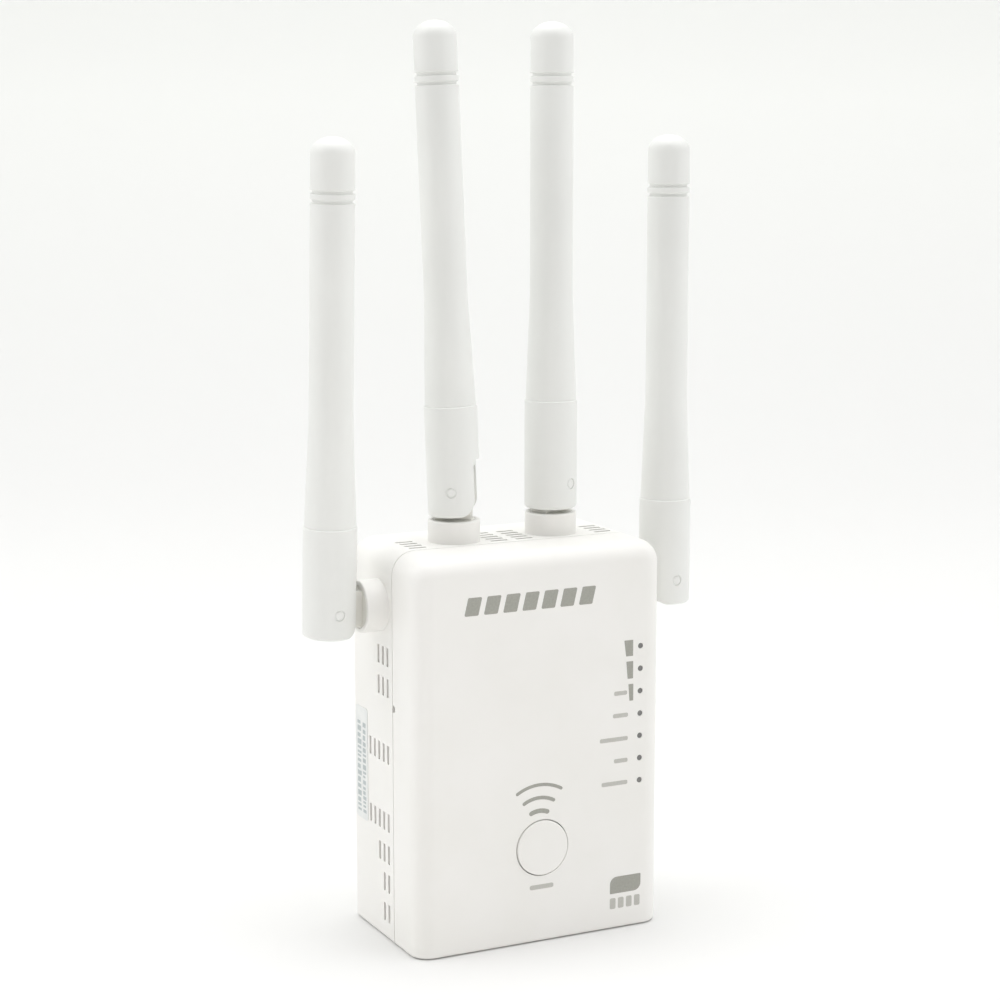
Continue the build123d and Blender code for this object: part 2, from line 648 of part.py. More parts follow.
def mains_capacitor():
    """The input capacitor, lying along the board."""
    x = -POWER_HALF_W + CAP_FROM_EDGE
    y = POWER_FRONT_Y - CAP_R
    can = rod(CAP_R, (x, y, CAP_Z), (x, y, CAP_Z + CAP_L))
    return fillet(can.edges().filter_by(GeomType.CIRCLE), 0.5)


def output_capacitors():
    """Two smaller capacitors standing on the board."""
    cans = []
    for inset in SMALL_CAPS_FROM_EDGE:
        x = -POWER_HALF_W + inset
        can = rod(SMALL_CAP_R, (x, POWER_FRONT_Y - SMALL_CAP_H, SMALL_CAP_Z), (x, POWER_FRONT_Y, SMALL_CAP_Z))
        cans.append(fillet(can.edges().filter_by(GeomType.CIRCLE), 0.4))
    return cans


def power_small_parts():
    """Bridge rectifier, fuse and choke."""
    rectifier_x, rectifier_h, rectifier_z = RECTIFIER
    rectifier = block(rectifier_x, (POWER_FRONT_Y - rectifier_h, POWER_FRONT_Y), rectifier_z)
    fuse_y = POWER_FRONT_Y - FUSE_R
    fuse = rod(FUSE_R, (FUSE_X[0], fuse_y, FUSE_Z), (FUSE_X[1], fuse_y, FUSE_Z))
    x, z = CHOKE_AT
    choke = rod(CHOKE_R, (x, POWER_FRONT_Y - CHOKE_H, z), (x, POWER_FRONT_Y, z))
    return [rectifier, fuse, choke]


def board_link():
    """Pin strip that carries low voltage from the power board to the main board."""
    x1 = POWER_HALF_W - LINK_FROM_EDGE
    middle = x1 - LINK_W / 2
    strip_y = POWER_FRONT_Y - LINK_T
    half = LINK_PIN / 2
    strip = block((x1 - LINK_W, x1), (strip_y, POWER_FRONT_Y), (LINK_Z - LINK_T / 2, LINK_Z + LINK_T / 2))
    for s in (-0.5, 0.5):
        x = middle + s * LINK_PITCH
        strip += block((x - half, x + half), (BOARD_BACK_Y, strip_y + 0.1), (LINK_Z - half, LINK_Z + half))
    return strip


# ---------------------------------------------------------------- plug
def plug_outline(grow, y):
    """The plug insert's rounded outline as a block over a stretch of Y."""
    w = INSERT_W + 2 * grow
    h = INSERT_H + 2 * grow
    solid = block((-w / 2, w / 2), y, (PLUG_Z - h / 2, PLUG_Z + h / 2))
    return fillet(solid.edges().filter_by(Axis.Y), INSERT_R + grow)


def plug_blade(side):
    """One flat mains blade, from the power board out through the back."""
    x = side * BLADE_PITCH / 2
    tip_y = BACK_Y + BLADE_REACH
    blade = block((x - BLADE_T / 2, x + BLADE_T / 2), (POWER_BACK_Y, tip_y),
                  (PLUG_Z - BLADE_H / 2, PLUG_Z + BLADE_H / 2))
    tip = blade.faces().sort_by(Axis.Y)[-1]
    blade = chamfer(tip.edges().filter_by(Axis.X), 1.2)
    tip = blade.faces().sort_by(Axis.Y)[-1]
    blade = chamfer(tip.edges().filter_by(Axis.Z), 0.4)
    return blade - rod(BLADE_HOLE_R, (x - 2, tip_y - 4.0, PLUG_Z), (x + 2, tip_y - 4.0, PLUG_Z))


def plug_insert():
    """The insulating block that holds both blades in the back wall."""
    insert = plug_outline(0, (BACK_IN_Y - 0.1, BACK_Y))
    insert = fillet(insert.faces().sort_by(Axis.Y)[-1].edges(), 0.4)
    insert += plug_outline(INSERT_LIP, (BACK_IN_Y - INSERT_LIP_T, BACK_IN_Y))
    for side in (-1, 1):
        x = side * BLADE_PITCH / 2
        insert -= block((x - BLADE_T / 2, x + BLADE_T / 2), (-FAR, FAR),
                        (PLUG_Z - BLADE_H / 2, PLUG_Z + BLADE_H / 2))
    return insert


# ---------------------------------------------------------------- screws and label
def screw(head_r, head_h, shank_r, length):
    """A pan-head screw with a cross recess: head above z = 0, shank below."""
    head = fillet(rod(head_r, (0, 0, 0), (0, 0, head_h)).edges().sort_by(Axis.Z)[-1:], head_h * 0.45)
    for turn in (0, 90):
        slot = block((-head_r * 0.6, head_r * 0.6), (-CROSS_W / 2, CROSS_W / 2), (head_h * 0.45, head_h + 1))
        head -= Rot(0, 0, turn) * slot
    shank = rod(shank_r, (0, 0, -length), (0, 0, 0))
    return head + chamfer(shank.edges().sort_by(Axis.Z)[:1], shank_r * 0.5)


def cover_screws():
    """Four long-reach screws that close the housing from behind."""
    seat_y = BOSS_TOP_Y + SEAT_T
    model = screw(SCREW_HEAD_R, SCREW_HEAD_H, SCREW_SHANK_R, SCREW_L)
    return [Plane(origin=(x, seat_y, z), z_dir=(0, 1, 0)) * model for x, z in BOSS_PLACES]


def board_screws():
    """Short screws for both boards."""
    model = screw(SMALL_HEAD_R, SMALL_HEAD_H, SMALL_SHANK_R, SMALL_SCREW_L)
    main = [Plane(origin=(x, BOARD_BACK_Y, z), z_dir=(0, 1, 0)) * model for x, z in BOARD_SCREW_PLACES]
    power = [Plane(origin=(x, POWER_FRONT_Y, z), z_dir=(0, -1, 0)) * model for x, z in POWER_SCREW_PLACES]
    return main + power


def side_label():
    """A blank sticker on the left side."""
    y1 = BACK_Y - LABEL_BACK_GAP
    return block((-HALF_W - LABEL_T, -HALF_W), (y1 - LABEL_W, y1), LABEL_Z)


# ---------------------------------------------------------------- antennas
# Each piece is built along +Z with the hinge pin's axis along Y through the origin
# and the fork's open side towards +X.
FLANGE_TOP = -PIN_ABOVE_COLLAR
FLANGE_BOTTOM = FLANGE_TOP - FLANGE_T
GROOVE_TOP = -PIN_RISE - WALL - CLIP_FLOAT
GROOVE_BOTTOM = GROOVE_TOP - CLIP_T - CLIP_CLEARANCE
STUB_END = GROOVE_BOTTOM - STUB_TAIL
SLEEVE_END = -PIN_ABOVE_END
SLEEVE_TOP = SLEEVE_END + SLEEVE_L
TIP = SLEEVE_TOP + SHAFT_L


def knuckle():
    """Stub, flange and two-cheeked tongue that the antenna swings on."""
    body = rod(STUB_R, (0, 0, STUB_END), (0, 0, FLANGE_TOP))
    body += rod(FLANGE_R, (0, 0, FLANGE_BOTTOM), (0, 0, FLANGE_TOP))
    body += block((-TONGUE_R, TONGUE_R), (-TONGUE_T / 2, TONGUE_T / 2), (FLANGE_TOP - 0.1, 0))
    body += rod(TONGUE_R, (0, -TONGUE_T / 2, 0), (0, TONGUE_T / 2, 0))
    groove = rod(FAR / 4, (0, 0, GROOVE_BOTTOM), (0, 0, GROOVE_TOP))
    body -= groove - rod(CLIP_GROOVE_R, (0, 0, GROOVE_BOTTOM), (0, 0, GROOVE_TOP))
    body -= rod(PIN_R + PIN_CLEARANCE, (0, -TONGUE_T, 0), (0, TONGUE_T, 0))
    body -= block((-FAR, FAR), (-CABLE_SLOT / 2, CABLE_SLOT / 2), (FLANGE_TOP + 0.6, FAR))
    return body - rod(CABLE_BORE_R, (0, 0, STUB_END - 1), (0, 0, FLANGE_TOP + 2))


def retaining_clip():
    """Open ring that snaps into the stub's groove inside the housing."""
    top = GROOVE_TOP - CLIP_CLEARANCE / 2
    ring = rod(CLIP_R, (0, 0, top - CLIP_T), (0, 0, top))
    ring -= rod(CLIP_GROOVE_R + CLIP_CLEARANCE, (0, 0, top - CLIP_T - 1), (0, 0, top + 1))
    return ring - block((0, FAR), (-CLIP_GROOVE_R * 0.8, CLIP_GROOVE_R * 0.8), (top - CLIP_T - 1, top + 1))


def sleeve():
    """The antenna's fork: a round socket above, two ears and a closed back below."""
    body = rod(SLEEVE_R, (0, 0, SLEEVE_END), (0, 0, SLEEVE_TOP))
    body = fillet(body.edges().group_by(Axis.Z)[0], HEEL_R)
    body = chamfer(body.edges().group_by(Axis.Z)[-1], 0.25)
    toe_x = FLAT_FROM_PIN - TOE_R
    toe_z = SLEEVE_END + TOE_R
    toe = block((toe_x, FAR), (-FAR, FAR), (-FAR, toe_z))
    body -= toe - rod(TOE_R, (toe_x, -FAR, toe_z), (toe_x, FAR, toe_z))
    body -= block((FLAT_FROM_PIN, FAR), (-FAR, FAR), (-FAR, FLAT_TOP))
    half = FORK_GAP / 2
    body -= block((-FORK_BACK, FAR), (-half, half), (-FAR, FORK_TOP))
    body -= rod(SPIGOT_R, (0, 0, SLEEVE_TOP - SPIGOT_L), (0, 0, SLEEVE_TOP + 1))
    body -= rod(CABLE_BORE_R, (0, 0, 0), (0, 0, SLEEVE_TOP))
    body -= rod(PIN_R, (0, -FAR, 0), (0, FAR, 0))
    for s in (-1, 1):
        body -= rod(PIN_R + PIN_RING_W, (0, s * (SLEEVE_R - PIN_RING_DEPTH), 0), (0, s * FAR, 0))
    return body


def shaft():
    """The hollow whip: spigot, long taper, straight run, two ring grooves and domed tip."""
    taper_top = SLEEVE_TOP + TAPER_L
    head_z = TIP - DOME_H
    foot_z = SLEEVE_TOP - SPIGOT_L
    points = [(0, foot_z), (SPIGOT_R, foot_z), (SPIGOT_R, SLEEVE_TOP), (SHAFT_FOOT_R, SLEEVE_TOP),
              (SHAFT_R, taper_top)]
    for below in sorted(RING_GROOVES, reverse=True):
        z = TIP - below
        points += [(SHAFT_R, z - RING_W / 2), (SHAFT_R - RING_DEPTH, z - RING_W / 2),
                   (SHAFT_R - RING_DEPTH, z + RING_W / 2), (SHAFT_R, z + RING_W / 2)]
    points += [(HEAD_R, TIP - RING_GROOVES[0] + 2 * RING_W), (HEAD_R, head_z), (0, head_z)]
    body = revolve(Plane.XZ * make_face(Polyline(*points, close=True)), Axis.Z)
    arc = EllipticalCenterArc((0, head_z), HEAD_R, DOME_H, start_angle=0, arc_size=90)
    cap = make_face(Curve() + [Polyline((0, head_z), (HEAD_R, head_z)), arc, Line((0, TIP), (0, head_z))])
    body += revolve(Plane.XZ * cap, Axis.Z)
    bore_top = head_z - 2.0
    return body - rod(SHAFT_BORE_R, (0, 0, foot_z - 1), (0, 0, bore_top))


def hinge_pins():
    """Two short pins, one in each ear, that leave the middle free for the cable."""
    pins = []
    for s in (-1, 1):
        pin = rod(PIN_R, (0, s * (CABLE_SLOT / 2 + 0.1), 0), (0, s * (SLEEVE_R - PIN_SET_BACK), 0))
        end = pin.edges().filter_by(GeomType.CIRCLE).sort_by(Axis.Y)[-1 if s > 0 else 0]
        pins.append(fillet(end, PIN_EDGE_R))
    return pins


def radiator():
    """Feed cable, the brass tube round it and the wire above it."""
    outer_r, inner_r = FEED_TUBE_R
    feed = rod(CABLE_R, (0, 0, FORK_TOP + 1), (0, 0, FEED_TOP))
    tube = rod(outer_r, (0, 0, FEED_TUBE_FOOT), (0, 0, FEED_TOP))
    tube -= rod(inner_r, (0, 0, 0), (0, 0, FEED_TOP + 1))
    whip = rod(WHIP_R, (0, 0, FEED_TOP), (0, 0, WHIP_TOP))
    return [feed, tube, whip]


# ---------------------------------------------------------------- pigtails inside the housing
def pigtail(foot, out):
    """The cable from a stub's bore to its plug on the main board, and the plug."""
    x, y, z = foot
    lie_y = BOARD_BACK_Y + CABLE_PLUG_H / 2
    if out[2]:
        points = [(x, y, z + 2), (x, y, z - 11), (x, lie_y, z - 20), (x, lie_y, TOP_ROUTE_END)]
    else:
        s = out[0]
        points = [(x + s * 2, y, z), (x - s * 9, y, z), (s * SIDE_ROUTE_X, lie_y, z - 8),
                  (s * SIDE_ROUTE_X, lie_y, SIDE_ROUTE_END)]
    runs = [Vector(*b) - Vector(*a) for a, b in zip(points, points[1:])]
    radii = []
    for a, b in zip(runs, runs[1:]):
        turn = math.radians(a.get_angle(b))
        radii.append(0.45 * min(a.length, b.length) / math.tan(turn / 2))
    print("pigtail radii", [round(r, 1) for r in radii])
    path = FilletPolyline(*points, radius=radii)
    section = Plane(origin=path @ 0, z_dir=path % 0) * Circle(CABLE_R)
    cable = sweep(section, path)
    ideal = math.pi * CABLE_R ** 2 * path.length
    print("pigtail volume share", round(cable.volume / ideal, 4))
    end_x = points[-1][0]
    plug_z = points[-1][2] - CABLE_PLUG_R
    plug = rod(CABLE_PLUG_R, (end_x, BOARD_BACK_Y, plug_z), (end_x, BOARD_BACK_Y + CABLE_PLUG_H, plug_z))
    return [cable, plug]


# ---------------------------------------------------------------- writing the nodes
def main():
    os.makedirs("parts", exist_ok=True)
    nodes = {
        "front_cover": front_cover(),
        "rear_cover": rear_cover(),
        "wps_button": wps_button(),
        "wps_switch_body": wps_switch_body(),
        "wps_switch_plunger": wps_switch_plunger(),
        "reset_switch_body": reset_switch_body(),
        "reset_switch_plunger": reset_switch_plunger(),
        "light_pipes": light_pipes(),
        "status_leds": status_leds(),
        "main_board": main_board(),
        "rf_shields": rf_shields(),
        "board_chips": board_chips(),
        "heat_sink": heat_sink(),
        "network_magnetics": network_magnetics(),
        "power_board": power_board(),
        "transformer_core": transformer_core(),
        "transformer_winding": transformer_winding(),
        "mains_capacitor": mains_capacitor(),
        "output_capacitors": output_capacitors(),
        "power_small_parts": power_small_parts(),
        "board_link": board_link(),
        "plug_blade_left": plug_blade(-1),
        "plug_blade_right": plug_blade(1),
        "plug_insert": plug_insert(),
        "cover_screws": cover_screws(),
        "board_screws": board_screws(),
        "side_label": side_label(),
    }
    for side, number in ((-1, 1), (1, 2)):
        nodes[f"lan_jack_{number}_housing"] = lan_jack_housing(side)
        nodes[f"lan_jack_{number}_shield"] = lan_jack_shield(side)
    nodes["lan_jack_contacts"] = contact_row(-1) + contact_row(1)
    for name, foot, out, bend_to, bend in ANTENNAS:
        pin = Vector(*foot) + Vector(*out) * PIN_RISE
        fixed = Plane(origin=pin, x_dir=bend_to, z_dir=out).location
        swung = fixed * Rot(0, bend, 0)
        nodes[name + "_knuckle"] = fixed * knuckle()
        nodes[name + "_retaining_clip"] = fixed * retaining_clip()
        nodes[name + "_sleeve"] = swung * sleeve()
        nodes[name + "_shaft"] = swung * shaft()
        nodes[name + "_hinge_pins"] = [swung * pin_solid for pin_solid in hinge_pins()]
        nodes[name + "_radiator"] = [swung * piece for piece in radiator()]
        nodes[name + "_pigtail"] = pigtail(foot, out)
    for name, shape in nodes.items():
        save(name, shape)
    print(len(nodes), "nodes written")


main()
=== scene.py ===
# %% [markdown]
# # A white plug-in range extender with four antennas
# The real object is a small moulded box that hangs in a mains socket. Its shells, antennas and
# button are white ABS, and the marks on the front are pad-printed in grey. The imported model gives
# every part its true shape and place, so this file adds what a moulding shop, a plating shop and a
# print shop would: turned shells, texture, ink, a label, plating and light.

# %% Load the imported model
import bpy
import bmesh
import json
import math
import random
from mathutils import Matrix, Vector


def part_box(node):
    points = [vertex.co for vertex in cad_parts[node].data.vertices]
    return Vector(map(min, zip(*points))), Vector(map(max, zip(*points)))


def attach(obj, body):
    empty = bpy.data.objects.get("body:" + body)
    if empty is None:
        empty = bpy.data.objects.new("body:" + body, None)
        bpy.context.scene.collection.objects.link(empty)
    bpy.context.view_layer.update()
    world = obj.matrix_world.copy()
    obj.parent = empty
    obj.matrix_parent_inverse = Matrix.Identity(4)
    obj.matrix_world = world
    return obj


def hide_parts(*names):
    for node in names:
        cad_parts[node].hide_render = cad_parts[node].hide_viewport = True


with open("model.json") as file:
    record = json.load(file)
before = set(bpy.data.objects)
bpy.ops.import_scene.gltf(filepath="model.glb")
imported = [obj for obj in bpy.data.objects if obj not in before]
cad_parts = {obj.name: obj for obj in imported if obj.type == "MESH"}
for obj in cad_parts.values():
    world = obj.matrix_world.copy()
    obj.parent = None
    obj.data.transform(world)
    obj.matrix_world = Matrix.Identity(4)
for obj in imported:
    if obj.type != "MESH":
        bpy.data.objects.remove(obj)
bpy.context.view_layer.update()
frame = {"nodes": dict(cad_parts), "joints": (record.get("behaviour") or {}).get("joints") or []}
nodes = frame["nodes"]
MM = 0.001

# %% [markdown]
# ## Camera
# The view is from the left and a little above, through a long lens from about 60 cm, so the box
# keeps nearly parallel sides. The lens is given in millimetres on a 36 mm sensor, like a real one.
# The plain Standard view transform keeps a white product white.

# %% Camera
CAMERA_AT = Vector((-0.2599, -0.5221, 0.2084))
CAMERA_LOOK = Vector((0.437, 0.8845, -0.1634))
camera = bpy.data.objects.new("camera", bpy.data.cameras.new("camera"))
bpy.context.scene.collection.objects.link(camera)
camera.location = CAMERA_AT
camera.rotation_mode = "QUATERNION"
camera.rotation_quaternion = CAMERA_LOOK.to_track_quat("-Z", "Y")
camera.data.sensor_width = 36.0
camera.data.lens = 82.8
camera.data.clip_start = 0.01
bpy.context.scene.camera = camera
bpy.context.scene.view_settings.view_transform = "Standard"
print("camera", [round(v, 3) for v in CAMERA_AT], "lens", camera.data.lens)

# %% [markdown]
# ## Colour and node helpers
# Colours are written the way a colour card gives them, as sRGB hex, and turned to the linear values
# that a renderer mixes. One small function adds a shader node, sets its inputs and links it. Object
# coordinates are turned to millimetres, so the scale of a noise is one over its size in mm.


# %% Helpers for colour and nodes
def linear(hex_colour, alpha=1.0):
    """An sRGB hex colour as linear RGBA."""
    channels = [int(hex_colour[i:i + 2], 16) / 255 for i in (1, 3, 5)]
    return [c / 12.92 if c <= 0.04045 else ((c + 0.055) / 1.055) ** 2.4 for c in channels] + [alpha]


def add(tree, kind, settings=None, inputs=None):
    """A node of a kind, with its settings, and its inputs given as values or as sockets to link."""
    node = tree.nodes.new("ShaderNode" + kind)
    for name, value in (settings or {}).items():
        setattr(node, name, value)
    for name, value in (inputs or {}).items():
        if isinstance(value, bpy.types.NodeSocket):
            tree.links.new(value, node.inputs[name])
        else:
            node.inputs[name].default_value = value
    return node


def new_material(name, colour="#FFFFFF", metallic=0.0, roughness=0.5, ior=1.5):
    """A material with its even values set on the surface shader: material, node tree, surface."""
    material = bpy.data.materials.new(name)
    material.use_nodes = True
    tree = material.node_tree
    surface = tree.nodes["Principled BSDF"]
    surface.inputs["Base Color"].default_value = linear(colour)
    surface.inputs["Metallic"].default_value = metallic
    surface.inputs["Roughness"].default_value = roughness
    surface.inputs["IOR"].default_value = ior
    return material, tree, surface


def in_mm(tree, stretch=(1, 1, 1)):
    """Object coordinates in millimetres, with each axis scaled by stretch."""
    place = add(tree, "TexCoord")
    scale = [s / MM for s in stretch]
    scaled = add(tree, "VectorMath", {"operation": "MULTIPLY"}, {0: place.outputs["Object"], 1: scale})
    return scaled.outputs[0]


def uneven(tree, source, low, high, spread=0.15):
    """A noise value near one half, widened to run from low to high."""
    return add(tree, "MapRange", None, {"Value": source, "From Min": 0.5 - spread, "From Max": 0.5 + spread,
                                        "To Min": low, "To Max": high}).outputs[0]


def two_tone(tree, factor, low, high):
    """A colour between two hex colours."""
    return add(tree, "Mix", {"data_type": "RGBA"}, {0: factor, 6: linear(low), 7: linear(high)}).outputs[2]


# %% [markdown]
# ## White ABS
# ABS is the usual plastic for such a box. Its refractive index is about 1.54. The mould is
# spark-eroded, which leaves a fine satin grain, so roughness sits near 0.4. Real grain is about
# 0.05 mm across, too fine to show, so it is drawn at a third of a millimetre. The melt also cools
# unevenly: a slow drift of tone over 25 mm keeps a large white face from looking like paper.


# %% Moulded plastics
def moulded(name, light, shade, roughness, grain_mm, grain_strength, ior=1.54):
    """A moulded plastic with a fine grain and a slightly uneven polish."""
    material, tree, surface = new_material(name, light, roughness=roughness, ior=ior)
    place = in_mm(tree)
    drift = add(tree, "TexNoise", None, {"Vector": place, "Scale": 1 / 25.0, "Detail": 3.0}).outputs["Fac"]
    grain = add(tree, "TexNoise", None, {"Vector": place, "Scale": 1 / grain_mm, "Detail": 2.0})
    relief = add(tree, "Bump", None, {"Height": grain.outputs["Fac"], "Strength": grain_strength,
                                      "Distance": 0.02 * MM})
    tone = two_tone(tree, uneven(tree, drift, 0.0, 1.0), shade, light)
    tree.links.new(tone, surface.inputs["Base Color"])
    tree.links.new(uneven(tree, drift, roughness - 0.03, roughness + 0.03), surface.inputs["Roughness"])
    tree.links.new(relief.outputs[0], surface.inputs["Normal"])
    return material


white_abs = moulded("white_abs", "#F4F3F0", "#F1F0EC", 0.40, 0.35, 0.25)
antenna_abs = moulded("antenna_abs", "#EEEFEC", "#EBECE9", 0.45, 0.30, 0.30)
white_acetal = moulded("white_acetal", "#E9E8E2", "#E4E3DC", 0.30, 0.50, 0.15, ior=1.48)
black_nylon = moulded("black_nylon", "#1D1D1F", "#151517", 0.48, 0.40, 0.35, ior=1.53)
print("plastics", [m.name for m in (white_abs, antenna_abs, white_acetal, black_nylon)])

# %% [markdown]
# ## Metals
# The blades are brass with a bright nickel plate, the screws are zinc plated, the radio cans and
# socket shells are tinned sheet and the clips are spring steel. All were rolled or drawn, so fine
# lines run one way: a noise stretched along one axis gives them, at about 0.1 mm apart.


# %% Metals
def drawn_metal(name, light, dark, roughness, line_mm, along, strength=0.15):
    """A metal with fine drawing or rolling lines along one axis, 0 for X to 2 for Z."""
    material, tree, surface = new_material(name, light, metallic=1.0, roughness=roughness)
    stretch = [1.0, 1.0, 1.0]
    stretch[along] = 0.04
    lines = add(tree, "TexNoise", None, {"Vector": in_mm(tree, stretch), "Scale": 1 / line_mm, "Detail": 2.0})
    stain = add(tree, "TexNoise", None, {"Vector": in_mm(tree), "Scale": 1 / 4.0, "Detail": 4.0})
    relief = add(tree, "Bump", None, {"Height": lines.outputs["Fac"], "Strength": strength,
                                      "Distance": 0.01 * MM})
    tone = two_tone(tree, uneven(tree, stain.outputs["Fac"], 0.0, 1.0), dark, light)
    tree.links.new(tone, surface.inputs["Base Color"])
    rough = uneven(tree, lines.outputs["Fac"], roughness - 0.08, roughness + 0.08)
    tree.links.new(rough, surface.inputs["Roughness"])
    tree.links.new(relief.outputs[0], surface.inputs["Normal"])
    return material


nickel_plated_brass = drawn_metal("nickel_plated_brass", "#D8D2C6", "#C9C2B4", 0.22, 0.15, 1)
zinc_plated_steel = drawn_metal("zinc_plated_steel", "#C6C8CC", "#B4B6BA", 0.35, 0.3, 0)
tinned_steel = drawn_metal("tinned_steel", "#CFCFCD", "#BDBDBA", 0.30, 0.2, 2)
spring_steel = drawn_metal("spring_steel", "#8E8F92", "#7C7D80", 0.32, 0.2, 0)
drawn_brass = drawn_metal("drawn_brass", "#D9B56A", "#C9A256", 0.28, 0.15, 2)
gold_flash = drawn_metal("gold_flash", "#E6C36A", "#D9B45B", 0.20, 0.1, 2)
anodised_aluminium = drawn_metal("anodised_aluminium", "#B9BBBE", "#A9ABAF", 0.42, 0.25, 2)
print("metals", 7)

# %% [markdown]
# ## Smoked polycarbonate
# Each lamp shows through a rod of clear plastic with a grey tint, so an unlit lamp looks like a
# dark dot. Polycarbonate has an index of 1.585. Light that goes in mostly stays in, so a little
# transmission over a dark tint is enough, with the polished end left glossy.

# %% Smoked polycarbonate and lamp epoxy
smoked_polycarbonate, tree, surface = new_material("smoked_polycarbonate", roughness=0.16, ior=1.585)
surface.inputs["Transmission Weight"].default_value = 0.2
swirl = add(tree, "TexNoise", None, {"Vector": in_mm(tree), "Scale": 1 / 1.5, "Detail": 2.0})
tree.links.new(two_tone(tree, uneven(tree, swirl.outputs["Fac"], 0, 1), "#7E7E7C", "#8C8C8A"),
               surface.inputs["Base Color"])

lamp_epoxy, tree, surface = new_material("lamp_epoxy", "#EDE7C8", roughness=0.25, ior=1.53)
swirl = add(tree, "TexNoise", None, {"Vector": in_mm(tree), "Scale": 1 / 0.6, "Detail": 2.0})
tree.links.new(two_tone(tree, uneven(tree, swirl.outputs["Fac"], 0, 1), "#E6DDB4", "#F2EED8"),
               surface.inputs["Base Color"])

# %% [markdown]
# ## Inside finishes
# Nobody sees the boards until the cover is off, yet each part still gets the finish it would have:
# green solder mask with its copper tracks showing as a lighter weave, black epoxy chips, a dark
# sintered core, yellow polyester tape, shrink sleeve on the capacitors and a matt cable jacket.


# %% Finishes of the parts inside
def flecked(name, light, dark, roughness, grain_mm, strength=0.2, kind="TexNoise", ior=1.5):
    """A finish of two close colours in grains of one size."""
    material, tree, surface = new_material(name, light, roughness=roughness, ior=ior)
    grain = add(tree, kind, None, {"Vector": in_mm(tree), "Scale": 1 / grain_mm})
    value = grain.outputs[0]
    relief = add(tree, "Bump", None, {"Height": value, "Strength": strength, "Distance": 0.02 * MM})
    tree.links.new(two_tone(tree, uneven(tree, value, 0, 1, 0.3), dark, light), surface.inputs["Base Color"])
    tree.links.new(relief.outputs[0], surface.inputs["Normal"])
    return material


black_epoxy = flecked("black_epoxy", "#262628", "#1B1B1D", 0.55, 0.12, ior=1.55)
sintered_ferrite = flecked("sintered_ferrite", "#3B3A3A", "#2B2A2A", 0.60, 0.4, 0.5, "TexVoronoi")
polyester_tape = flecked("polyester_tape", "#E3B93C", "#D8AC2E", 0.28, 6.0, 0.1, ior=1.64)
shrink_sleeve = flecked("shrink_sleeve", "#23242E", "#1B1C25", 0.35, 3.0, 0.1, ior=1.54)
cable_jacket = flecked("cable_jacket", "#3A3A3C", "#303032", 0.50, 0.5, 0.2, ior=1.52)

solder_mask, tree, surface = new_material("solder_mask", "#1D6B3A", roughness=0.32, ior=1.55)
place = in_mm(tree)
tracks = add(tree, "TexBrick", {"offset": 0.5}, {"Vector": place, "Color1": linear("#1B6437"),
                                                 "Color2": linear("#237545"), "Mortar": linear("#2E8A55"),
                                                 "Scale": 1 / 2.5, "Mortar Size": 0.03})
relief = add(tree, "Bump", None, {"Height": tracks.outputs["Fac"], "Strength": 0.2, "Distance": 0.03 * MM})
tree.links.new(tracks.outputs["Color"], surface.inputs["Base Color"])
tree.links.new(relief.outputs[0], surface.inputs["Normal"])
print("inside finishes", 6)

# %% [markdown]
# ## Giving each carried-over part its finish
# A table of name endings is enough, because the parts are named for what they are.

# %% Assign the finishes
FINISHES = (
    (antenna_abs, ("sleeve", "shaft")),
    (white_acetal, ("knuckle", "hinge_pins")),
    (spring_steel, ("retaining_clip",)),
    (drawn_brass, ("radiator",)),
    (cable_jacket, ("pigtail",)),
    (white_abs, ("front_cover", "rear_cover", "wps_button", "plug_insert")),
    (smoked_polycarbonate, ("light_pipes",)),
    (lamp_epoxy, ("status_leds",)),
    (solder_mask, ("main_board", "power_board")),
    (tinned_steel, ("rf_shields", "_shield")),
    (black_epoxy, ("board_chips", "network_magnetics", "power_small_parts")),
    (anodised_aluminium, ("heat_sink",)),
    (sintered_ferrite, ("transformer_core",)),
    (polyester_tape, ("transformer_winding",)),
    (shrink_sleeve, ("mains_capacitor", "output_capacitors")),
    (nickel_plated_brass, ("plug_blade_left", "plug_blade_right")),
    (zinc_plated_steel, ("cover_screws", "board_screws")),
    (gold_flash, ("lan_jack_contacts",)),
    (black_nylon, ("_housing", "switch_body", "switch_plunger", "board_link")),
)


def finish_node(name, material):
    """Give a carried-over part its finish."""
    slots = nodes[name].data.materials
    slots.clear()
    slots.append(material)


finished = set()
for material, endings in FINISHES:
    for name in nodes:
        if name.endswith(endings):
            finish_node(name, material)
            finished.add(name)
print("finished", len(finished), "left", sorted(set(nodes) - finished))

# %% [markdown]
# ## Turned shapes
# A whip antenna's shell and a hinge pin are round all along, so a profile spun about an axis makes
# them, like work on a lathe. Each profile is a list of radius and height in millimetres. Corners
# are rounded in the profile itself, because real mouldings have at least a tenth of a millimetre
# there, and that thin round is what catches the light.


# %% Profiles and spinning
def eased(profile, radius, steps=4):
    """A profile with each inner corner rounded, as far as its two sides allow."""
    path = [Vector(profile[0])]
    for before, here, after in zip(profile, profile[1:], profile[2:]):
        before, here, after = Vector(before), Vector(here), Vector(after)
        back, on = before - here, after - here
        reach = min(radius, back.length * 0.45, on.length * 0.45)
        start, end = here + back.normalized() * reach, here + on.normalized() * reach
        for step in range(steps + 1):
            share = step / steps
            path.append((start * (1 - share) + here * share) * (1 - share)
                        + (here * (1 - share) + end * share) * share)
    path.append(Vector(profile[-1]))
    return path


